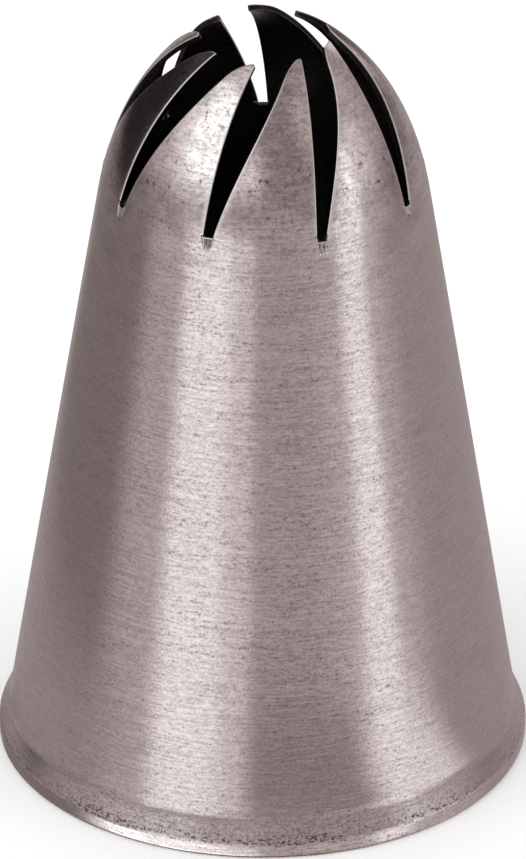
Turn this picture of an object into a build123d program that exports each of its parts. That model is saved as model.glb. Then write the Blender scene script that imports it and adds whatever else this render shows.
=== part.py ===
from build123d import *
from math import acos, asin, cos, degrees, radians, sin, sqrt
import os

os.makedirs("parts", exist_ok=True)

# A piping nozzle pressed from one sheet: a tapered wall with a rounded lip at its open base,
# and a domed crown that swirling slots part into petals.
# Millimetres, +Z up, origin in the middle of the base, on the face that the nozzle stands on.

# Sheet
sheet = 0.4

# Outside of the wall: a straight taper that runs into a crown shaped like half an egg
overall_height = 50.0
foot_diameter = 33.9  # where the taper, run on down, would meet the base
crown_diameter = 21.7  # widest of the ellipse that the crown follows
crown_rise = 16.0  # height of that ellipse above its centre
mouth_diameter = 8.3  # circle that the petals' tips lie on

# Lip and flare at the base
flare_reach = 0.3  # how far the lip stands out past the taper, so it is 34.5 across
lip_height = 0.6  # corner between the upright lip and the flare
flare_height = 2.1  # corner between the flare and the taper
lip_bend = 1.0  # bend radius at the first corner
flare_bend = 6.0  # bend radius at the second
lip_round = 0.2  # round under the lip, outside
lip_break = 0.1  # round under the lip, inside
lip_joint_height = 3.0  # where the base_lip node ends and the cone_wall node begins

# Slots and petals
petal_count = 9
kerf = 0.5  # width of a slot at its end
slot_drop = 9.45  # how far below the tips the slots end
first_turn = 0.55  # middle of the first petal's root, in degrees from the front

# A petal's edges seen from above. The first number is the place as a share of the way out
# from the mouth's circle to the petal's root, and the second the turn as a share of the pitch
# from one petal to the next, from the middle of the root.
swirl_belly_share = (0.612, -0.13)  # the long bowed edge
swirl_neck_share = (0.181, 0.25)  # where that edge begins to hook towards the tip
swirl_point_share = (-0.025, 0.82)  # where the two edges would meet, just inside the mouth
swirl_back_share = (0.436, 0.605)  # the nearly straight edge

# Clearance that every cutting shape runs past what it cuts
overrun = 2.0

foot_radius = foot_diameter / 2
base_radius = foot_radius + flare_reach
crown_radius = crown_diameter / 2
mouth_radius = mouth_diameter / 2
mouth_angle = degrees(acos(mouth_radius / crown_radius))
crown_centre = overall_height - crown_rise * sin(radians(mouth_angle))
slot_end_height = overall_height - slot_drop
root_radius = crown_radius * sqrt(1 - ((slot_end_height - crown_centre) / crown_rise) ** 2)
pitch = 360 / petal_count
root_turn = pitch / 2 - degrees(asin(kerf / 2 / root_radius))


def touch(foot, across, rise):
    """Slope of the line from a radius at the base that just touches an ellipse, and where."""
    apart = crown_centre**2 - rise**2
    slope = (foot * crown_centre - sqrt((foot * rise) ** 2 + apart * across**2)) / apart
    span = foot - slope * crown_centre
    return slope, (across**2 / span, crown_centre + slope * rise**2 / span)


def inner_corner(before, corner, after):
    """Corner of the sheet's inside, one thickness in from a corner of its outside."""
    into = (Vector(corner) - Vector(before)).normalized().rotate(Axis.Z, 90)
    out_of = (Vector(after) - Vector(corner)).normalized().rotate(Axis.Z, 90)
    return Vector(corner) + (into + out_of) * (sheet / (1 + into.dot(out_of)))


def from_above(radius, turn):
    """Point at a radius and a turn in degrees from the front, anticlockwise seen from above."""
    return (radius * sin(radians(turn)), -radius * cos(radians(turn)))


def on_petal(share):
    """Point on a petal's outline from its shares of the way out and of the pitch."""
    way_out, turn = share
    return from_above(mouth_radius + way_out * (root_radius - mouth_radius), turn * pitch)


def side(corners, bends, across, rise):
    """One side of the wall's section, and its ends: bends, taper and the crown's ellipse."""
    taper = FilletPolyline(*corners, radius=bends)
    start = degrees(asin(((taper @ 1).Y - crown_centre) / rise))
    crown = EllipticalCenterArc(
        (0, crown_centre), across, rise, start_angle=start, arc_size=mouth_angle - start
    )
    return taper @ 0, crown @ 1


# Corners of the wall's outside and inside: across is the radius, up is the height
slope, shoulder = touch(foot_radius, crown_radius, crown_rise)
inner_foot = foot_radius - sheet * sqrt(1 + slope**2)
inner_shoulder = touch(inner_foot, crown_radius - sheet, crown_rise - sheet)[1]
base = (base_radius, 0)
lip = (base_radius, lip_height)
flare = (foot_radius - slope * flare_height, flare_height)
outside = [base, lip, flare, shoulder]
inside = [
    (base_radius - sheet, 0),
    inner_corner(base, lip, flare),
    inner_corner(lip, flare, shoulder),
    inner_shoulder,
]

# Section of the whole wall before the slots are cut
with BuildSketch() as wall:
    with BuildLine():
        outer_base, outer_mouth = side(outside, [lip_bend, flare_bend], crown_radius, crown_rise)
        inner_base, inner_mouth = side(
            inside, [lip_bend - sheet, flare_bend + sheet], crown_radius - sheet, crown_rise - sheet
        )
        Line(outer_base, inner_base)
        Line(outer_mouth, inner_mouth)
    make_face()
    fillet(wall.vertices().group_by(Axis.Y)[0].sort_by(Axis.X)[-1], radius=lip_round)
    fillet(wall.vertices().group_by(Axis.Y)[0].sort_by(Axis.X)[0], radius=lip_break)


def wall_between(low, high):
    """The part of the wall's section between two heights."""
    add(wall.sketch)
    with Locations((0, low)):
        Rectangle(base_radius + overrun, high - low, align=Align.MIN, mode=Mode.INTERSECT)


# Lip and flare at the open base
with BuildPart() as base_lip:
    with BuildSketch(Plane.XZ):
        wall_between(0, lip_joint_height)
    revolve(axis=Axis.Z)
base_lip.part.label = "base_lip"
export_step(base_lip.part, "parts/base_lip.step")

# Tapered wall, up to the ends of the slots
with BuildPart() as cone_wall:
    with BuildSketch(Plane.XZ):
        wall_between(lip_joint_height, slot_end_height)
    revolve(axis=Axis.Z)
cone_wall.part.label = "cone_wall"
export_step(cone_wall.part, "parts/cone_wall.step")

# Petals, anticlockwise seen from above, the first at the front
for number in range(petal_count):
    petal_turn = first_turn + number * pitch
    with BuildPart() as petal:
        with BuildSketch(Plane.XZ):
            wall_between(slot_end_height, overall_height + overrun)
        revolve(axis=Axis.Z)
        with BuildSketch(Plane.XY.rotated((0, 0, petal_turn))):
            with BuildLine():
                bowed_root = from_above(root_radius, -root_turn)
                straight_root = from_above(root_radius, root_turn)
                point = on_petal(swirl_point_share)
                bowed = ThreePointArc(bowed_root, on_petal(swirl_belly_share), on_petal(swirl_neck_share))
                TangentArc(bowed @ 1, point, tangent=bowed % 1)
                ThreePointArc(point, on_petal(swirl_back_share), straight_root)
                Polyline(
                    straight_root,
                    from_above(root_radius + overrun, root_turn),
                    from_above(root_radius + overrun, -root_turn),
                    bowed_root,
                )
            make_face()
        extrude(amount=overall_height + overrun, mode=Mode.INTERSECT)
    petal.part.label = f"petal_{number + 1}"
    export_step(petal.part, f"parts/petal_{number + 1}.step")
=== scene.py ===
from math import asin, atan2, cos, degrees, radians, sin, sqrt

import bmesh
import bpy
from mathutils import Matrix, Vector

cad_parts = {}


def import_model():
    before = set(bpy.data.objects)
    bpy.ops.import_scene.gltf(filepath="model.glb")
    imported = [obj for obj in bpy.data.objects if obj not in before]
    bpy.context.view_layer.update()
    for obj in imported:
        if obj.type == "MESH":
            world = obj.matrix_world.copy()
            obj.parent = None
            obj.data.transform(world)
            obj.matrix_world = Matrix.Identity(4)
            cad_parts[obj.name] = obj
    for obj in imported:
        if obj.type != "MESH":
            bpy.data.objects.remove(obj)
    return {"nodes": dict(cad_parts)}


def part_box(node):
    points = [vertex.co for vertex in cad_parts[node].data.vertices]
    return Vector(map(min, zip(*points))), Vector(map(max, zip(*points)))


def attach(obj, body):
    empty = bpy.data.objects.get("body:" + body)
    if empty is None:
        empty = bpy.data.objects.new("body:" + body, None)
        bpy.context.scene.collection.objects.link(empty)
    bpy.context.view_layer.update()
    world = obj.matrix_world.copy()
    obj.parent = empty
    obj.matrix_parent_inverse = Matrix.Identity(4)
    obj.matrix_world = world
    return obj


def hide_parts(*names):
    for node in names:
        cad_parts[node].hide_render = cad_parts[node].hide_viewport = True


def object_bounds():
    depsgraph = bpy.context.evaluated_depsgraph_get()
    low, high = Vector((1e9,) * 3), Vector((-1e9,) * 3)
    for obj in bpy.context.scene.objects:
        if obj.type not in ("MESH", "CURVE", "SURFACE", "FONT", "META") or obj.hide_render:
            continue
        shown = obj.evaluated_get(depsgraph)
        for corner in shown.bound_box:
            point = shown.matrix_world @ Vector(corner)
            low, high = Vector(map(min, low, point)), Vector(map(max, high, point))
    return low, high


# A piping nozzle pressed from one steel sheet, standing on a pale floor in a small studio.
# Metres, +Z up, origin in the middle of the base. Turns are in degrees from the front, -Y,
# anticlockwise seen from above.

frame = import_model()
cad_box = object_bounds()

MM = 0.001

# Read from the frame
overall_height = cad_box[1][2]
base_radius = cad_box[1][0]
lip_joint_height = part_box("base_lip")[1][2]
slot_end_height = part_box("cone_wall")[1][2]
petal_count = sum(name.startswith("petal_") for name in frame["nodes"])

# Outside of the wall: a straight taper that runs into a crown shaped like half an egg
sheet = 0.4 * MM
foot_radius = 16.95 * MM
crown_radius = 10.85 * MM
crown_rise = 16.0 * MM
mouth_radius = 4.15 * MM

# Lip and flare at the base
lip_height = 1.0 * MM
flare_height = 2.55 * MM
lip_bend = 0.7 * MM
flare_bend = 3.0 * MM
lip_round = 0.28 * MM
lip_break = 0.1 * MM

# Slots and petals. A petal's outline is seen from above: shares of the way out from the
# mouth's circle to the root, and of the pitch from the middle of the root.
kerf = 0.62 * MM
first_turn = 0.55
belly_share = (0.612, -0.13)
neck_share = (0.181, 0.25)
point_share = (-0.025, 0.82)
back_share = (0.436, 0.605)
tip_round = 0.28 * MM
cut_round = 0.08 * MM

# How each petal differs from the even pattern, from the front one on: shifts of its outline's
# shares, its tip's radius, and how far its tip was bent out
own_shapes = [
    {"belly": (0, 0.013), "neck": (0, 0.06), "point": (0, 0.03), "tip": 0.18 * MM},
    {
        "belly": (0, 0.012), "neck": (0, 0.01), "back": (0, -0.04), "point": (-0.02, 0.25),
        "tip": 0.26 * MM,
    },
    {"neck": (0, -0.07)},
    {"neck": (0, 0.02), "tip": 0.22 * MM, "lift": -0.08 * MM},
    {"point": (0.045, 0.01), "tip": 0.14 * MM, "lift": 0.35 * MM},
    {"neck": (0, 0.06), "point": (0.05, 0.0), "tip": 0.26 * MM, "lift": -0.05 * MM},
    {"back": (0, -0.05), "tip": 0.2 * MM},
    {"belly": (0, 0.03), "neck": (0, 0.04), "tip": 0.16 * MM, "lift": -0.05 * MM},
    {
        "belly": (0, -0.02), "neck": (0, 0.02), "back": (0, -0.015), "point": (0.03, 0),
        "tip": 0.17 * MM,
    },
]

# How each slot differs, from the one to the right of the front petal on: its turn from its
# even place, in degrees, and how much lower its end was sawn
slot_shifts = (0.2, 1.1, 0.4, 0.0, 0.0, 0.0, -0.4, -1.3, -0.6)
notch_depths = [depth * MM for depth in (0.27, 0.14, 0.12, 0.20, 0.22, 0.10, 0.18, 0.21, 0.02)]

# Saw marks that run out below the ends of the slots: a groove on each side of a low ridge,
# with a burr along each edge
mark_length = 0.8 * MM
mark_depth = 0.08 * MM
burr_height = 0.4 * mark_depth
ridge_height_share = 0.8
# Painted shade in the grooves, as a share of black that grows with their depth
groove_painted_shade = 0.5

# Shares of the mark's width, from its middle
groove_edge_shares = (0.28, 0.50)
ridge_reach_share = 0.24
burr_inner_shares = (0.42, 0.52)
burr_outer_shares = (0.54, 0.68)

# How narrow a mark is at its end, and from which share of its length on it runs out
mark_end_share = 0.5
run_out_share = 0.4

# How far the ridge's place and the mark's length sway from slot to slot, and how fast
ridge_sway_share, ridge_sway_speed = 0.12, 2.4
length_sway_share, length_sway_speed = 0.2, 1.7

# How finely the pieces are divided
around_steps = 360
lip_steps = 8
bend_steps = 12
break_steps = 5
flare_steps = 6
corner_steps = 4
wall_steps = 60
mark_steps = 40
side_steps = 110
across_steps = 22

# A small step along a surface, from which its slope is worked out
hair = 0.01 * MM

crown_centre = overall_height - crown_rise * sqrt(1 - (mouth_radius / crown_radius) ** 2)
root_radius = crown_radius * sqrt(1 - ((slot_end_height - crown_centre) / crown_rise) ** 2)
pitch = 360 / petal_count
root_turn = pitch / 2 - degrees(asin(kerf / 2 / root_radius))


def from_above(radius, turn):
    """Point at a radius and a turn from the front, seen from above."""
    return Vector((radius * sin(radians(turn)), -radius * cos(radians(turn))))


def stood(turn, across, up):
    """A point or a normal of the section, stood up at a turn from the front."""
    around = from_above(1, turn)
    return Vector((around.x * across, around.y * across, up))


def turn_of(x, y):
    """Turn from the front of a place seen from above."""
    return degrees(atan2(x, -y))


def ramp(low, high, value):
    """0 below low, 1 above high and a straight slope between them."""
    return min(max((value - low) / (high - low), 0.0), 1.0)


def smooth(low, high, value):
    """0 below low, 1 above high and an even slide between them."""
    share = ramp(low, high, value)
    return share * share * (3 - 2 * share)


def spaced(low, high, steps):
    """Evenly spaced values from low up to high, without high itself."""
    return [low + (high - low) * step / steps for step in range(steps)]


# Section of the wall

def touch():
    """Slope of the taper, and where it touches the crown's ellipse."""
    apart = crown_centre**2 - crown_rise**2
    reach = (foot_radius * crown_rise) ** 2 + apart * crown_radius**2
    slope = (foot_radius * crown_centre - sqrt(reach)) / apart
    span = foot_radius - slope * crown_centre
    return slope, Vector((crown_radius**2 / span, crown_centre + slope * crown_rise**2 / span))


taper_slope, shoulder = touch()


def bend(before, corner, after, radius, steps):
    """Points and outward normals along an arc of that radius at a corner of the section."""
    into = (corner - before).normalized()
    out_of = (after - corner).normalized()
    side = 1 if into.x * out_of.y - into.y * out_of.x > 0 else -1
    turn = into.angle(out_of)
    to_centre = side * Vector((-into.y, into.x))
    centre = corner - into * radius * sin(turn / 2) / cos(turn / 2) + to_centre * radius
    rows = []
    for step in range(steps + 1):
        spoke = Matrix.Rotation(side * turn * step / steps, 2) @ -to_centre
        rows.append((centre + spoke * radius, side * spoke))
    return rows


def wall_place(height):
    """Radius and outward normal of the wall's outside, at a height above the flare."""
    if height < shoulder.y:
        radius = foot_radius - taper_slope * height
        return radius, Vector((1, taper_slope)).normalized()
    rise = (height - crown_centre) / crown_rise
    radius = crown_radius * sqrt(max(1 - rise * rise, 0))
    normal = Vector((radius / crown_radius**2, (height - crown_centre) / crown_rise**2))
    return radius, normal.normalized()


def on_wall(turn, height, depth=0.0):
    """Point on the wall, or that far inside it, and the outward normal there."""
    radius, normal = wall_place(height)
    outward = stood(turn, *normal)
    return stood(turn, radius, height) - outward * depth, outward


def on_lifted(turn, height, depth, lift):
    """The same on a petal that was bent out, or in, by lift at its tip and not at its root."""

    def outline(level):
        radius = wall_place(level)[0]
        share = (level - slot_end_height) / (overall_height - slot_end_height)
        return Vector((radius + lift * share**2, level))

    high = min(height + hair, overall_height)
    along = outline(high) - outline(high - 2 * hair)
    normal = Vector((along.y, -along.x)).normalized()
    spot = outline(height) - normal * depth
    return stood(turn, *spot), stood(turn, *normal)


def rounded_edge(rounding):
    """Angles and depths of points across a cut edge of the sheet, rounded off at both faces."""
    rows = []
    for step in range(2 * corner_steps + 2):
        over = step > corner_steps
        angle = radians(90 * (step - over) / corner_steps)
        depth = rounding * (1 - cos(angle))
        if over:
            depth = sheet - rounding * (1 + cos(angle))
        rows.append((angle, depth))
    return rows


# Skins, which carry their own normals, so that no seam shows where the sheet runs on

class Skin:
    """Faces, and points with a normal and marks for the steel: inside, cut and rim, which take painted
    shade and a painted highlight. A flat face has its own normal.
    """

    def __init__(self):
        self.points = []
        self.normals = []
        self.marks = []
        self.faces = []
        self.flat = []

    def point(self, place, normal, inside=0.0, cut=0.0, rim=0.0):
        self.points.append(place)
        self.normals.append(normal)
        self.marks.append((inside, cut, rim))
        return len(self.points) - 1

    def face(self, *corners, flat=False):
        used = list(dict.fromkeys(corners))
        if len(used) > 2:
            self.faces.append(used)
            self.flat.append(flat)

    def make(self, name, node):
        mesh = bpy.data.meshes.new(name)
        mesh.from_pydata(self.points, [], self.faces)
        mesh.update()
        mesh.polygons.foreach_set("use_smooth", [True] * len(self.faces))
        normals = []
        for polygon, flat in zip(mesh.polygons, self.flat):
            for corner in polygon.vertices:
                normals.append(polygon.normal.copy() if flat else self.normals[corner])
        mesh.normals_split_custom_set(normals)
        for mark, values in zip(("inside", "cut", "rim"), zip(*self.marks)):
            mesh.attributes.new(mark, "FLOAT", "POINT").data.foreach_set("value", values)
        piece = bpy.data.objects.new(name, mesh)
        bpy.context.scene.collection.objects.link(piece)
        mesh.materials.append(steel)
        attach(piece, "root")
        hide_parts(node)
        return piece


def revolve(skin, section, turns):
    """Turns a closed section, whose points are a function of the turn, about the axis."""
    rings = []
    for turn in turns:
        rings.append([skin.point(*place) for place in section(turn)])
    for this, after in zip(rings, rings[1:] + rings[:1]):
        count = len(this)
        for row in range(count):
            up = (row + 1) % count
            skin.face(this[row], after[row], after[up], this[up])


# Base lip

def outside_rows():
    """Places and normals of the section's outside, from under the lip to the lower joint."""
    base = Vector((base_radius, 0))
    lip = Vector((base_radius, lip_height))
    flare = Vector((foot_radius - taper_slope * flare_height, flare_height))
    underside = Vector((base_radius - sheet, 0))
    rows = bend(underside, base, lip, lip_round, lip_steps)
    rows += bend(base, lip, flare, lip_bend, bend_steps)
    rows += bend(lip, flare, shoulder, flare_bend, bend_steps)
    top_of_bend = rows[-1][0].y
    for height in spaced(top_of_bend, lip_joint_height, flare_steps)[1:] + [lip_joint_height]:
        radius, normal = wall_place(height)
        rows.append((Vector((radius, height)), normal))
    return rows


def base_lip():
    """The flare and the rounded lip at the open base."""
    outside = outside_rows()
    inside = []
    for place, normal in reversed(outside):
        if place.y > lip_round:
            inside.append((place - normal * sheet, -normal))
    corner = Vector((base_radius - sheet, 0))
    above = Vector((corner.x, lip_height))
    foot = bend(above, corner, Vector((base_radius, 0)), lip_break, break_steps)
    marked = [(row, 0.0) for row in outside] + [(row, 1.0) for row in inside + foot]

    def section(turn):
        return [(stood(turn, *place), stood(turn, *normal), inner) for (place, normal), inner in marked]

    skin = Skin()
    revolve(skin, section, spaced(0, 360, around_steps))
    return skin.make("base_lip_skin", "base_lip")


# Tapered wall

def slot_place(turn):
    """Nearest slot's number, and how far round from its middle a turn is."""
    number = round((turn - first_turn) / pitch - 0.5)
    away = turn - first_turn - (number + 0.5) * pitch
    number %= petal_count
    return number, away - slot_shifts[number]


def saw_mark(number, away, below):
    """Depth of the saw mark below a slot's end, and how far its floor leans across and up."""
    across = radians(away) * root_radius
    ridge_share = ridge_sway_share * sin(ridge_sway_speed * number)
    length = mark_length * (1 + length_sway_share * cos(length_sway_speed * number))

    def depth(aside, down):
        width = kerf * (1 - (1 - mark_end_share) * ramp(0.0, length, down))
        aside = aside / width
        ridge = 1 - ramp(0.0, ridge_reach_share, abs(aside - ridge_share))
        groove = 1 - ramp(*groove_edge_shares, abs(aside)) - ridge_height_share * ridge
        burr = ramp(*burr_inner_shares, abs(aside)) * (1 - ramp(*burr_outer_shares, abs(aside)))
        run_out = (1 - smooth(run_out_share * length, length, down)) * (down > -mark_length)
        return run_out * (mark_depth * max(groove, 0.0) - burr_height * burr)

    if abs(across) > kerf or below > length:
        return 0.0, 0.0, 0.0
    here = depth(across, below)
    lean_across = (depth(across + hair, below) - here) / hair
    lean_up = (here - depth(across, below + hair)) / hair
    return here, lean_across, lean_up


def cone_section(turn):
    """Section of the tapered wall at one turn, with the end of a slot and its saw mark."""
    marked_height = 1.6 * MM
    blur = 0.02 * MM
    plain_round = 0.002 * MM
    number, away = slot_place(turn)
    across = abs(radians(away)) * root_radius
    in_slot = 1 - smooth(kerf / 2 - blur, kerf / 2 + blur, across)
    rounding = plain_round + cut_round * in_slot
    straight_top = slot_end_height - notch_depths[number] * in_slot - rounding
    marked_low = slot_end_height - marked_height
    heights = spaced(lip_joint_height, marked_low, wall_steps)
    heights += spaced(marked_low, straight_top, mark_steps) + [straight_top]
    rows = []
    for height in heights:
        place, normal = on_wall(turn, height)
        below = slot_end_height - notch_depths[number] - height
        dent, lean_across, lean_up = saw_mark(number, away, below)
        if dent:
            side = from_above(1, turn + 90)
            across_way = Vector((side.x, side.y, 0))
            up_way = normal.cross(across_way)
            up_way *= 1 if up_way.z > 0 else -1
            place = place - normal * dent
            normal = (normal + across_way * lean_across + up_way * lean_up).normalized()
        # The cut mark carries painted shade into the saw grooves, darker where they are deeper
        rows.append((place, normal, 0.0, groove_painted_shade * max(dent, 0.0) / mark_depth))
    edge = rounded_edge(rounding)
    half_corner = corner_steps // 2
    last = len(edge) - 1
    for step in range(1, last + 1):
        angle, depth = edge[step]
        place, normal = on_wall(turn, straight_top + rounding * sin(angle), depth)
        normal = normal * cos(angle) + Vector((0, 0, 1)) * sin(angle)
        # In a slot the rounded rim by the outside takes a painted highlight, and the cut face painted
        # shade
        inside = float(step > last - half_corner)
        cut = in_slot * (step > half_corner)
        rim = in_slot * (step <= half_corner)
        rows.append((place, normal, inside, cut, rim))
    for height in reversed(heights):
        place, normal = on_wall(turn, height, sheet)
        rows.append((place, -normal, 1.0, 0.0))
    return rows


def cone_wall():
    """The tapered wall, up to the ends of the slots, divided more finely near each slot."""
    fine_reach, fine_steps, coarse_steps = 4.4, 66, 31
    turns = []
    for number in range(petal_count):
        middle = first_turn + (number + 0.5) * pitch
        turns += spaced(middle - fine_reach, middle + fine_reach, fine_steps)
        turns += spaced(middle + fine_reach, middle + pitch - fine_reach, coarse_steps)
    skin = Skin()
    revolve(skin, cone_section, turns)
    return skin.make("cone_wall_skin", "cone_wall")


# Petals

def circle_through(a, b, c):
    """Centre of the circle through three points seen from above."""
    ab, ac = b - a, c - a
    twice = 2 * (ab.x * ac.y - ab.y * ac.x)
    ux = (ac.y * ab.length_squared - ab.y * ac.length_squared) / twice
    uy = (ab.x * ac.length_squared - ac.x * ab.length_squared) / twice
    return a + Vector((ux, uy))


def arc(centre, start, end, steps):
    """Points along the shorter arc about a centre, both ends included."""
    first, last = start - centre, end - centre
    turn = atan2(first.x * last.y - first.y * last.x, first.dot(last))
    return [centre + Matrix.Rotation(turn * step / steps, 2) @ first for step in range(steps + 1)]


def edges(number, own):
    """The bowed edge and the straight edge of a petal, seen from above, from root to point."""
    bowed_steps, hook_steps, straight_steps = 160, 60, 200

    def moved(name, share):
        shift = own.get(name, (0, 0))
        radius = mouth_radius + (share[0] + shift[0]) * (root_radius - mouth_radius)
        return from_above(radius, (share[1] + shift[1]) * pitch)

    bowed_root = from_above(root_radius, slot_shifts[number - 1] - root_turn)
    straight_root = from_above(root_radius, slot_shifts[number] + root_turn)
    belly, neck = moved("belly", belly_share), moved("neck", neck_share)
    point, back = moved("point", point_share), moved("back", back_share)
    centre = circle_through(bowed_root, belly, neck)
    bowed = arc(centre, bowed_root, neck, bowed_steps)
    spoke = (neck - centre).normalized()
    chord = point - neck
    hook = neck + spoke * chord.length_squared / (2 * chord.dot(spoke))
    bowed += arc(hook, neck, point, hook_steps)[1:]
    centre = circle_through(straight_root, back, point)
    return bowed, arc(centre, straight_root, point, straight_steps)


def evened(points, count):
    """The same line with its points evenly spaced."""
    lengths = [0]
    for before, after in zip(points, points[1:]):
        lengths.append(lengths[-1] + (after - before).length)
    line = []
    place = 0
    for step in range(count + 1):
        target = lengths[-1] * step / count
        while place < len(points) - 2 and lengths[place + 1] < target:
            place += 1
        share = (target - lengths[place]) / (lengths[place + 1] - lengths[place])
        line.append(points[place].lerp(points[place + 1], share))
    return line


def tip_circle(bowed, straight, radius):
    """Centre of the circle that rounds a petal's tip, and its places on the two edges."""
    for place, (spot, after) in enumerate(zip(bowed, bowed[1:])):
        along = (after - spot).normalized()
        centre = spot + Vector((along.y, -along.x)) * radius
        near = min(range(len(straight)), key=lambda n: (straight[n] - centre).length)
        if (straight[near] - centre).length < radius:
            return centre, place, near
    raise ValueError("the tip's radius is too small for its petal")


def rounded_outline(number, own):
    """A petal's outline from above, from root to root, with its tip rounded."""
    tip_steps = 24
    bowed, straight = edges(number, own)
    centre, place, near = tip_circle(bowed, straight, own.get("tip", tip_round))
    tip = arc(centre, bowed[place], straight[near], tip_steps)
    half = len(tip) // 2
    left = bowed[:place] + tip[:half + 1]
    right = straight[:near] + list(reversed(tip[half:]))
    left, right = evened(left, side_steps), evened(right, side_steps)
    return left + list(reversed(right[:-1]))


def height_on_crown(radius):
    """Height of the crown's outside at a radius."""
    radius = max(radius, mouth_radius)
    return crown_centre + crown_rise * sqrt(1 - (radius / crown_radius) ** 2)


def cut_edge(skin, places, lift):
    """Rings of points across the cut edge, all round a petal, and the outline of its flat face."""
    last = len(places) - 1
    solid = [on_wall(*place)[0] for place in places]
    rings, inset = [], []
    for spot, (turn, height) in enumerate(places):
        middle, outward = on_wall(turn, height)
        along = solid[min(spot + 1, last)] - solid[max(spot - 1, 0)]
        inward = along.cross(outward).normalized()
        ring = []
        for step, (angle, depth) in enumerate(rounded_edge(cut_round)):
            moved = middle + inward * (cut_round * (1 - sin(angle)))
            moved_turn = turn_of(moved.x, moved.y)
            level = slot_end_height
            if spot not in (0, last):
                level = min(max(moved.z, slot_end_height), overall_height)
            if step == 0:
                inset.append((turn + (moved_turn - turn + 180) % 360 - 180, level))
            place, facing = on_lifted(moved_turn, level, depth, lift)
            normal = facing * cos(angle) - inward * sin(angle)
            # The cut face takes painted shade, and the rim by the outer face a painted highlight
            to_end = 2 * corner_steps + 1 - step
            cut = smooth(corner_steps / 2, corner_steps, min(step, to_end))
            bright = 1 - smooth(corner_steps / 2, corner_steps, step) if step > 0 else 0.5
            ring.append(skin.point(place, normal, float(to_end == 0), cut, bright))
        rings.append(ring)
    return rings, inset


def petal(number, own):
    """One petal: both faces of the sheet, and the cut edge with its corners rounded off."""
    petal_turn = first_turn + number * pitch
    lift = own.get("lift", 0.0)
    places = []
    for spot in rounded_outline(number, own):
        places.append((turn_of(spot.x, spot.y) + petal_turn, height_on_crown(spot.length)))
    last = len(places) - 1
    skin = Skin()
    rings, inset = cut_edge(skin, places, lift)

    def rung(side, depth, ring_place, facing):
        row = [rings[side][ring_place]]
        left, right = inset[side], inset[last - side]
        for step in range(1, across_steps):
            share = step / across_steps
            turn = left[0] + (right[0] - left[0]) * share
            height = left[1] + (right[1] - left[1]) * share
            place, outward = on_lifted(turn, height, depth, lift)
            row.append(skin.point(place, outward * facing, float(facing < 0)))
        row.append(rings[last - side][ring_place])
        return row

    outer = [rung(side, 0, 0, 1) for side in range(side_steps)]
    inner = [rung(side, sheet, -1, -1) for side in range(side_steps)]
    outer.append([rings[side_steps][0]] * (across_steps + 1))
    inner.append([rings[side_steps][-1]] * (across_steps + 1))
    for side in range(side_steps):
        for step in range(across_steps):
            low, high = outer[side], outer[side + 1]
            skin.face(low[step], low[step + 1], high[step + 1], high[step])
            low, high = inner[side], inner[side + 1]
            skin.face(low[step], high[step], high[step + 1], low[step + 1])
    for this, after in zip(rings, rings[1:]):
        for step in range(len(this) - 1):
            skin.face(this[step], after[step], after[step + 1], this[step + 1])
    for step in range(across_steps):
        skin.face(outer[0][step + 1], outer[0][step], inner[0][step], inner[0][step + 1], flat=True)
    skin.face(*reversed(rings[0]), flat=True)
    skin.face(*rings[last], flat=True)
    return skin.make(f"petal_skin_{number + 1}", f"petal_{number + 1}")


# Nodes

def node(tree, kind, inputs=None, **settings):
    """Adds a node, sets its properties and fills its inputs with values or links."""
    made = tree.nodes.new(kind)
    for name, value in settings.items():
        setattr(made, name, value)
    for name, value in (inputs or {}).items():
        if isinstance(value, bpy.types.NodeSocket):
            tree.links.new(value, made.inputs[name])
        else:
            made.inputs[name].default_value = value
    return made


def maths(tree, operation, *values):
    """Result of a maths node."""
    return node(tree, "ShaderNodeMath", dict(enumerate(values)), operation=operation).outputs[0]


def times(tree, first, *others):
    """Product of values."""
    for other in others:
        first = maths(tree, "MULTIPLY", first, other)
    return first


def summed(tree, *terms):
    """Sum of values, each times its weight."""
    total = 0.0
    for value, weight in terms:
        total = maths(tree, "MULTIPLY_ADD", value, weight, total)
    return total


def ranged(tree, value, low, high, to_low, to_high, ease="SMOOTHSTEP"):
    """Result of a map range node."""
    inputs = {"Value": value, "From Min": low, "From Max": high, "To Min": to_low, "To Max": to_high}
    return node(tree, "ShaderNodeMapRange", inputs, interpolation_type=ease).outputs["Result"]


def between(tree, value, start, end, share=1.0):
    """Rises from 0 to the share over the start's stretch, and falls back to 0 over the end's."""
    return times(tree, ranged(tree, value, *start, 0.0, share), ranged(tree, value, *end, 1.0, 0.0))


def mixed(tree, share, first, second):
    """Colour between two colours."""
    inputs = {"Factor": share, 6: first, 7: second}
    return node(tree, "ShaderNodeMix", inputs, data_type="RGBA").outputs[2]


def own_place(tree):
    """Where the surface is in its object's frame, in metres."""
    return node(tree, "ShaderNodeTexCoord").outputs["Object"]


def grain(tree, around, up, detail, rough=0.5):
    """Noise with grains of that size round the axis and up it, in metres."""
    inputs = {"Vector": own_place(tree), "Scale": (1 / around, 1 / around, 1 / up)}
    stretched = node(tree, "ShaderNodeMapping", inputs, vector_type="POINT").outputs["Vector"]
    inputs = {"Vector": stretched, "Scale": 1.0, "Detail": detail, "Roughness": rough}
    return node(tree, "ShaderNodeTexNoise", inputs).outputs["Fac"]


def carried(tree, name):
    """A mark that the skin's points carry."""
    return node(tree, "ShaderNodeAttribute", attribute_name=name).outputs["Fac"]


# Steel

pale_steel = (0.84, 0.785, 0.765, 1)
dark_steel = (0.48, 0.435, 0.415, 1)
pit_colour = (0.13, 0.105, 0.10, 1)
scratch_colour = (0.95, 0.92, 0.90, 1)
# Near-white painted highlight on the rounded rims of cut edges
rim_highlight_colour = (0.96, 0.93, 0.92, 1)
# Near-black painted shade on the cut faces and in the saw grooves
cut_shade_colour = (0.008, 0.007, 0.007, 1)
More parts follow.
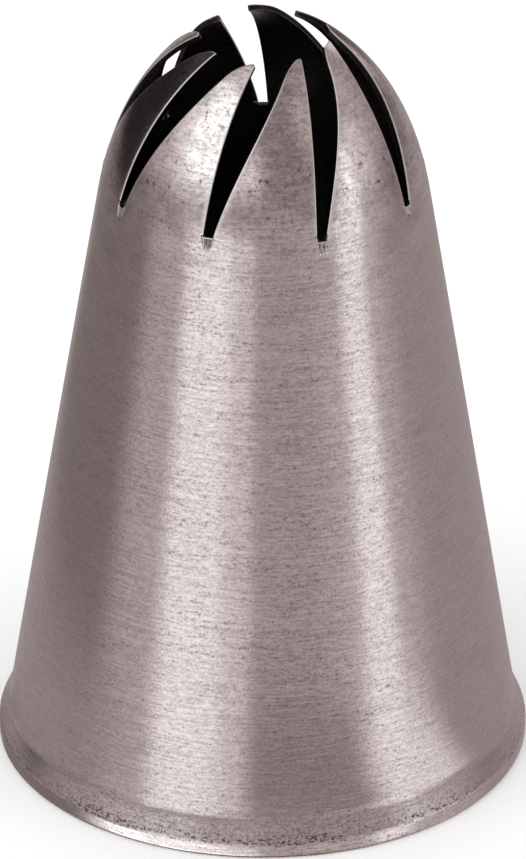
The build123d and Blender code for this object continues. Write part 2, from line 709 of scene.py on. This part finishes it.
# Dark painted shade on the inside of the sheet
inside_shade_colour = (0.12, 0.105, 0.10, 1)

# Heights over which the finish of the wall gives way to the crown's
crown_start = (38 * MM, 43 * MM)
mottle_start = (34 * MM, 41 * MM)

# Heights above the lip over which a stretch of the finish starts and ends
near_lip_band = ((-0.1 * MM, 0.1 * MM), (0.6 * MM, 1.8 * MM))
crease_band = ((-0.16 * MM, 0.0), (0.2 * MM, 0.75 * MM))

# Values of its noise between which a mark fades in
speck_edge = (0.63, 0.70)
speck_row_edge = (0.46, 0.56)
scratch_edge = (0.68, 0.74)
speck_share = 0.8

# How deep the brushing bit at the sides and at the front and back, and on the crown at least.
# It changes where the sine of the turn lies between two values.
wear_edge = (0.55, 0.90)
wear_span = (0.40, 1.0)
crown_wear = 0.7

# Pits show where the brushing's noises pass a limit, which falls with the noise of the rows
# and is shifted near the lip, in the crease above it and on the crown
pit_rows = (0.36, 0.64)
pit_limits = (0.64, 0.56)
pit_limit_shifts = (-0.02, -0.05, 0.01)
pit_edge = (0.0, 0.08)

# Spans that noises are mapped from and to
shade_span = (0.38, 0.62)
grain_span = (0.3, 0.7)
tone_span = (-0.5, 0.5)
lip_tone_span = (-0.3, 0.3)
crown_tone_span = (-0.35, 0.35)
mottle_span = (0.3, 1.6)
rough_span = (0.14, 0.21)
middle_tone = 0.52

# Weights of the speckle, the dashes and the streaks, which are the brushing
shade_weights = (0.4, 0.3, 0.3)
pit_weights = (0.47, 0.4, 0.13)

# Weights in the relief of the brushing, the clouds, the pits and the scratches, and in the
# crown's of the clouds, the patches and the specks
relief_weights = (0.8, 0.7, 0.9, 1.2, 0.5, 0.2)
crown_relief_weights = (2.5, 0.6, 0.5)
relief_on_crown = 0.6
relief_height = 0.0045 * MM

# How much of its colour a mark takes on: on the rims it is a painted highlight, on the cut faces and
# inside it is painted shade. Pits are darker in the crease.
pit_share, crease_share = 0.35, 0.55
scratch_share, rim_highlight_share, cut_shade_share, inside_shade_share = 0.12, 0.9, 0.97, 0.65

# Roughness added in pits, near the lip, on cut edges, on their rims and inside
added_roughness = (0.1, 0.07, 0.15, 0.25, 0.14)


class FinishAndPaintedLight:
    """Nodes of the brushed finish and of the painted highlight and shade: noises, masks from 0 to 1,
    and what is made of them.
    """

    def __init__(self, tree):
        self.tree = tree
        self.speckle = grain(tree, around=0.17 * MM, up=0.14 * MM, detail=1.0)
        self.dashes = grain(tree, around=0.55 * MM, up=0.14 * MM, detail=1.0)
        self.streaks = grain(tree, around=3.2 * MM, up=0.16 * MM, detail=2.0)
        self.brushing = (self.speckle, self.dashes, self.streaks)
        self.scratches = grain(tree, around=5.0 * MM, up=0.12 * MM, detail=1.0)
        self.clouds = grain(tree, around=3.2 * MM, up=1.6 * MM, detail=4.0, rough=0.6)
        self.rows = grain(tree, around=7.0 * MM, up=0.9 * MM, detail=3.0)
        self.patches = grain(tree, around=0.34 * MM, up=0.38 * MM, detail=2.0)
        self.place = node(tree, "ShaderNodeSeparateXYZ", {"Vector": own_place(tree)}).outputs
        above_lip = maths(tree, "SUBTRACT", self.place["Z"], lip_height)
        self.near_lip = between(tree, above_lip, *near_lip_band)
        self.crease = between(tree, above_lip, *crease_band)
        self.crown = ranged(tree, self.place["Z"], *crown_start, 0.0, 1.0)
        self.inside = carried(tree, "inside")
        self.cut = carried(tree, "cut")
        self.rim = carried(tree, "rim")
        self.worn = self.wear()
        self.pits = self.torn_pits()
        specks = times(tree, ranged(tree, self.patches, *speck_edge, 0.0, speck_share), self.crown)
        self.specks = times(tree, specks, ranged(tree, self.rows, *speck_row_edge, 0.0, 1.0))
        self.scores = ranged(tree, self.scratches, *scratch_edge, 0.0, 1.0)
        self.shade = summed(tree, *zip(self.brushing, shade_weights))

    def wear(self):
        """How deep the brushing bit: more at the front, the back and the crown than at the sides."""
        tree = self.tree
        turn = maths(tree, "ARCTAN2", self.place["Y"], self.place["X"])
        forward = maths(tree, "ABSOLUTE", maths(tree, "SINE", turn))
        worn = ranged(tree, forward, *wear_edge, *wear_span)
        return maths(tree, "MAXIMUM", worn, times(tree, self.crown, crown_wear))

    def torn_pits(self):
        """Pits where the sheet was torn a little, closer together in some rows and near the lip."""
        tree = self.tree
        spots = summed(tree, *zip(self.brushing, pit_weights))
        limit = ranged(tree, self.rows, *pit_rows, *pit_limits, ease="LINEAR")
        shifts = zip((self.near_lip, self.crease, self.crown), pit_limit_shifts)
        limit = summed(tree, *shifts, (limit, 1.0))
        pits = ranged(tree, maths(tree, "SUBTRACT", spots, limit), *pit_edge, 0.0, 1.0)
        return times(tree, pits, self.worn)

    def tone(self):
        """Share of the dark steel in the pale."""
        tree = self.tree
        tone = ranged(tree, self.shade, *shade_span, *tone_span, ease="LINEAR")
        lip_tone = ranged(tree, self.speckle, *grain_span, *lip_tone_span, ease="LINEAR")
        lip_tone = times(tree, lip_tone, self.near_lip)
        crown_tone = ranged(tree, self.patches, *grain_span, *crown_tone_span, ease="LINEAR")
        crown_tone = times(tree, crown_tone, self.crown)
        tone = summed(tree, (lip_tone, 1.0), (crown_tone, 1.0), (tone, 1.0))
        tone = maths(tree, "MULTIPLY_ADD", tone, self.worn, middle_tone)
        mottled = ranged(tree, self.place["Z"], *mottle_start, *mottle_span)
        return maths(tree, "MULTIPLY_ADD", maths(tree, "SUBTRACT", self.clouds, 0.5), mottled, tone)

    def colour(self):
        """Colour of the steel, with its pits and scratches, a painted highlight on the rims of cut
        edges, and painted shade on the cut faces, in the saw grooves and inside.
        """
        tree = self.tree
        dark = times(tree, self.pits, summed(tree, (self.crease, crease_share), (pit_share, 1.0)))
        dark = maths(tree, "MAXIMUM", dark, self.specks)
        colour = mixed(tree, self.tone(), pale_steel, dark_steel)
        colour = mixed(tree, dark, colour, pit_colour)
        colour = mixed(tree, times(tree, self.scores, scratch_share), colour, scratch_colour)
        # Painted highlight on the rims of cut edges
        colour = mixed(tree, times(tree, self.rim, rim_highlight_share), colour, rim_highlight_colour)
        # Painted shade on the cut faces and in the saw grooves
        colour = mixed(tree, times(tree, self.cut, cut_shade_share), colour, cut_shade_colour)
        # Painted shade on the inside of the sheet
        return mixed(tree, times(tree, self.inside, inside_shade_share), colour, inside_shade_colour)

    def roughness(self):
        """Roughness, higher in pits, near the lip, on cut edges and inside."""
        rough = ranged(self.tree, self.shade, *shade_span, *rough_span, ease="LINEAR")
        rougher = (self.pits, self.near_lip, self.cut, self.rim, self.inside)
        return summed(self.tree, *zip(rougher, added_roughness), (rough, 1.0))

    def normal(self):
        """Normal that the brushing, the pits and the crown's unevenness tilt."""
        tree = self.tree
        raised = (*self.brushing, self.clouds, self.pits, self.scores)
        relief = summed(tree, *zip(raised, relief_weights))
        relief = times(tree, relief, ranged(tree, self.place["Z"], *crown_start, 1.0, relief_on_crown))
        raised = (self.clouds, self.patches, self.specks)
        crown_relief = summed(tree, *zip(raised, crown_relief_weights))
        relief = maths(tree, "MULTIPLY_ADD", crown_relief, self.crown, relief)
        inputs = {"Height": relief, "Strength": 1.0, "Distance": relief_height}
        return node(tree, "ShaderNodeBump", inputs, invert=True).outputs["Normal"]


def brushed_steel():
    """Satin stainless steel, brushed round the axis, with fine dark pits."""
    material = bpy.data.materials.new("steel_brushed")
    material.use_nodes = True
    tree = material.node_tree
    tree.nodes.clear()
    finish = FinishAndPaintedLight(tree)
    inputs = {
        "Base Color": finish.colour(),
        "Metallic": 1.0,
        "Roughness": finish.roughness(),
        "Normal": finish.normal(),
    }
    shader = node(tree, "ShaderNodeBsdfPrincipled", inputs).outputs["BSDF"]
    node(tree, "ShaderNodeOutputMaterial", {"Surface": shader})
    return material


# Studio

# Panels that the metal mirrors: middle azimuth and elevation as seen from the nozzle, half width
# and half height, softness of the edges across and up, in degrees, and brightness.
# Azimuth 0 is behind the camera, and 90 is to its right.
room_level = 0.34
panels = [
    ("left_wall", -125, 0, 50, 90, 30, 10, 0.21),
    ("left_halo", -62, -46, 17, 45, 22, 10, 0.45),
    ("left_dusk", -149, 46, 42, 26, 14, 16, 0.05),
    ("left_flag", -150, 10, 42, 21, 12, 10, 0.02),
    ("back_wall", 172, 0, 30, 90, 16, 10, 0.34),
    ("back_glow", 158, 16, 19, 15, 12, 12, 1.00),
    ("right_dusk", 170, 2, 16, 10, 14, 10, 0.08),
    ("right_shade", 125, -1, 24, 9, 12, 8, 0.21),
    ("front_wall", 17, 0, 26, 90, 10, 10, 0.39),
    ("table_front", 61, -49, 46, 24, 30, 8, 0.52),
    ("table_left", -41, -49, 33, 24, 28, 8, 1.85),
    ("front_glow", -16, -14, 10, 18, 5, 6, 0.70),
    ("front_card", -36, -15, 15.5, 17, 12, 6, 1.06),
    ("right_halo", 59, -14, 25, 20, 24, 14, 0.52),
    ("right_strip", 59, -16, 9, 22, 8, 10, 1.05),
    ("right_upper", 94, 36, 22, 20, 20, 16, 0.47),
    ("right_halo_high", 70, 16, 21, 11, 16, 12, 0.76),
    ("right_strip_high", 64, 13, 7, 12, 8, 8, 1.42),
    ("front_flag", 18, 44, 42, 34, 12, 14, 0.26),
    ("front_upper", 48, 42, 12, 16, 14, 14, 0.46),
    ("front_patch", -14, 26, 12, 9, 14, 14, 0.80),
    ("left_bounce", -86, 11, 12, 8, 14, 12, 0.46),
    ("softbox_halo", -70, 41, 18, 24, 20, 16, 1.00),
    ("softbox", -48.5, 37.5, 21.5, 24.5, 11, 16, 1.56),
    ("softbox_corner", -66, 14, 7, 5, 10, 10, 0.72),
    ("top_light", -30, 84, 60, 16, 30, 12, 0.85),
    ("contact", 0, -84, 180, 18, 4, 14, 0.08),
]
dome_radius = 4.0

# The table near the nozzle, which only the lower part of the wall mirrors. It starts and ends
# over these stretches of the way out, which are shorter to the sides.
near_level = 0.34
near_panels = [
    ("near_front", 14, 0, 24, 90, 10, 10, 0.24),
    ("near_right", 54, 0, 14, 90, 16, 10, 1.00),
]
near_gap = [("near_gap", -31, 0, 25, 90, 14, 10, 0.0)]
near_band = ((26 * MM, 34 * MM), (44 * MM, 92 * MM))
near_squeeze = (1.5, 1, 1)
near_share = 0.9
near_radius = 100 * MM
near_height = -0.1 * MM

# A dim ring just over the table, whose underside only the flare mirrors
flag_level = 0.34
flag_band = ((17 * MM, 18 * MM), (40 * MM, 50 * MM))
flag_share = 0.65
flag_radius = 50 * MM
flag_height = 3.4 * MM

# The dim room is a little pink beside the white of the brightest panel
dim_tint = (1.19, 1.0, 1.0, 1)
bright_tint = (0.96, 1.0, 1.01, 1)
tint_levels = (0.2, 1.4)

floor_radius = 3.0
floor_grey = 0.94
shade_grey = 0.02
shade_height = 0.02 * MM
shade_gap = 0.1 * MM


def disc(radius, height=0.0):
    """A round face at a height."""
    shape = bmesh.new()
    bmesh.ops.create_circle(shape, cap_ends=True, segments=96, radius=radius)
    bmesh.ops.translate(shape, verts=shape.verts, vec=(0, 0, height))
    return shape


def staged(name, shape, hidden_from):
    """Adds a thing of the studio that the rays named don't see, and returns its material."""
    mesh = bpy.data.meshes.new(name)
    shape.to_mesh(mesh)
    shape.free()
    made = bpy.data.objects.new(name, mesh)
    bpy.context.scene.collection.objects.link(made)
    for rays in hidden_from:
        setattr(made, f"visible_{rays}", False)
    material = bpy.data.materials.new(name)
    material.use_nodes = True
    mesh.materials.append(material)
    return material


def matte(name, shape, hidden_from, grey):
    """Adds a matte grey thing of the studio."""
    shader = staged(name, shape, hidden_from).node_tree.nodes["Principled BSDF"]
    shader.inputs["Base Color"].default_value = (grey, grey, grey, 1)
    shader.inputs["Roughness"].default_value = 0.9
    shader.inputs["Specular IOR Level"].default_value = 0.0


def mirrored_only(name, shape):
    """Adds a glowing thing that only mirror-like rays see, and returns its empty node tree."""
    hidden_from = ("camera", "diffuse", "transmission", "volume_scatter", "shadow")
    material = staged(name, shape, hidden_from)
    material.cycles.emission_sampling = "NONE"
    material.node_tree.nodes.clear()
    return material.node_tree


def within(tree, away, half, soft):
    """1 within half a panel's size and 0 beyond it, with an edge of that softness."""
    return ranged(tree, away, half - soft / 2, half + soft / 2, 1.0, 0.0)


def add_panels(tree, way, level, listed):
    """Level of the panels in the way that a vector points, each laid over the ones before."""
    way = node(tree, "ShaderNodeVectorMath", {0: way}, operation="NORMALIZE").outputs["Vector"]
    split = node(tree, "ShaderNodeSeparateXYZ", {"Vector": way}).outputs
    azimuth = maths(tree, "ARCTAN2", split["X"], times(tree, split["Y"], -1.0))
    azimuth = maths(tree, "DEGREES", azimuth)
    elevation = maths(tree, "DEGREES", maths(tree, "ARCSINE", split["Z"]))
    for name, middle, height, half_width, half_height, soft_across, soft_up, brightness in listed:
        aside = maths(tree, "WRAP", maths(tree, "SUBTRACT", azimuth, middle), 180.0, -180.0)
        aside = maths(tree, "ABSOLUTE", aside)
        above = maths(tree, "ABSOLUTE", maths(tree, "SUBTRACT", elevation, height))
        wide = within(tree, aside, half_width, soft_across)
        mask = times(tree, wide, within(tree, above, half_height, soft_up))
        mask.node.label = name
        inputs = {"Factor": mask, "A": level, "B": brightness}
        level = node(tree, "ShaderNodeMix", inputs, data_type="FLOAT").outputs["Result"]
    return level


def glow(tree, level):
    """Light of a level, with its tint."""
    brightness = ranged(tree, level, *tint_levels, 0.0, 1.0, ease="LINEAR")
    inputs = {"Color": mixed(tree, brightness, dim_tint, bright_tint), "Strength": level}
    return node(tree, "ShaderNodeEmission", inputs).outputs["Emission"]


def show(tree, light, share):
    """Fills the material with that share of the light, and leaves it clear elsewhere."""
    clear = node(tree, "ShaderNodeBsdfTransparent").outputs["BSDF"]
    blend = node(tree, "ShaderNodeMixShader", {0: share, 1: clear, 2: light}).outputs["Shader"]
    node(tree, "ShaderNodeOutputMaterial", {"Surface": blend})


def way_out(tree, place):
    """How far out a place is, in metres."""
    return node(tree, "ShaderNodeVectorMath", {0: place}, operation="LENGTH").outputs["Value"]


def studio_dome():
    """A dome of panels, far out."""
    ball = bmesh.new()
    bmesh.ops.create_icosphere(ball, subdivisions=5, radius=dome_radius)
    tree = mirrored_only("studio_dome", ball)
    level = add_panels(tree, own_place(tree), room_level, panels)
    node(tree, "ShaderNodeOutputMaterial", {"Surface": glow(tree, level)})


def near_table():
    """A ring of the table round the nozzle, open on one side."""
    tree = mirrored_only("near_table", disc(near_radius, near_height))
    place = own_place(tree)
    squeezed = node(tree, "ShaderNodeVectorMath", {0: place, 1: near_squeeze}, operation="MULTIPLY")
    away = way_out(tree, squeezed.outputs["Vector"])
    shown = between(tree, away, *near_band, near_share)
    shown = times(tree, shown, add_panels(tree, place, 1.0, near_gap))
    show(tree, glow(tree, add_panels(tree, place, near_level, near_panels)), shown)


def low_flag():
    """A dim ring just over the table, which shows from below alone."""
    ring = disc(flag_radius, flag_height)
    ring.normal_update()
    for face in ring.faces:
        if face.normal.z < 0:
            face.normal_flip()
    tree = mirrored_only("low_flag", ring)
    shown = between(tree, way_out(tree, own_place(tree)), *flag_band, flag_share)
    from_below = node(tree, "ShaderNodeNewGeometry").outputs["Backfacing"]
    dim = node(tree, "ShaderNodeEmission", {"Color": dim_tint, "Strength": flag_level})
    show(tree, dim.outputs["Emission"], times(tree, shown, from_below))


def floor():
    """The pale floor, which the metal doesn't mirror."""
    matte("floor", disc(floor_radius), ["glossy"], floor_grey)


def bore_shade():
    """A dark disc on the floor inside the nozzle, where no light of the studio reaches."""
    shape = disc(base_radius - sheet - shade_gap, shade_height)
    matte("bore_shade", shape, ["camera", "diffuse", "shadow"], shade_grey)


def lamp(name, place, size, power):
    """A soft square lamp that faces the nozzle and lights the floor."""
    light = bpy.data.lights.new(name, "AREA")
    light.shape = "SQUARE"
    light.size = size
    light.energy = power
    made = bpy.data.objects.new(name, light)
    made.location = place
    made.rotation_euler = (-Vector(place)).to_track_quat("-Z", "Y").to_euler()
    made.visible_glossy = False
    bpy.context.scene.collection.objects.link(made)


def world():
    """Plain white light from all round, which is also the background."""
    made = bpy.data.worlds.new("studio")
    made.use_nodes = True
    tree = made.node_tree
    tree.nodes.clear()
    background = node(tree, "ShaderNodeBackground", {"Color": (1, 1, 1, 1), "Strength": 1.0})
    node(tree, "ShaderNodeOutputWorld", {"Surface": background.outputs["Background"]})
    bpy.context.scene.world = made


def camera():
    """The photograph's camera: it aims at the middle of the nozzle from above."""
    tilt, roll = radians(28.188), radians(0.169)
    distance = 526.6 * MM
    aim = Vector((-0.022 * MM, 0, 21.847 * MM))
    forward = Vector((0, cos(tilt), -sin(tilt)))
    right = Vector((1, 0, 0))
    up = right.cross(forward)
    right, up = right * cos(roll) + up * sin(roll), up * cos(roll) - right * sin(roll)
    data = bpy.data.cameras.new("camera")
    data.sensor_width = 36
    data.lens = 342.77
    data.clip_start = 0.01
    made = bpy.data.objects.new("camera", data)
    columns = Matrix((right, up, -forward)).transposed()
    made.matrix_world = Matrix.Translation(aim - forward * distance) @ columns.to_4x4()
    bpy.context.scene.collection.objects.link(made)
    bpy.context.scene.camera = made


steel = brushed_steel()
camera()
base_lip()
cone_wall()
for number, own in enumerate(own_shapes):
    petal(number, own)
floor()
bore_shade()
studio_dome()
near_table()
low_flag()
world()
lamp("key", place=(-1.3, -1.2, 2.0), size=2.0, power=16)
lamp("fill", place=(1.6, -0.9, 1.6), size=1.6, power=6)
bpy.context.scene.view_settings.view_transform = "Standard"
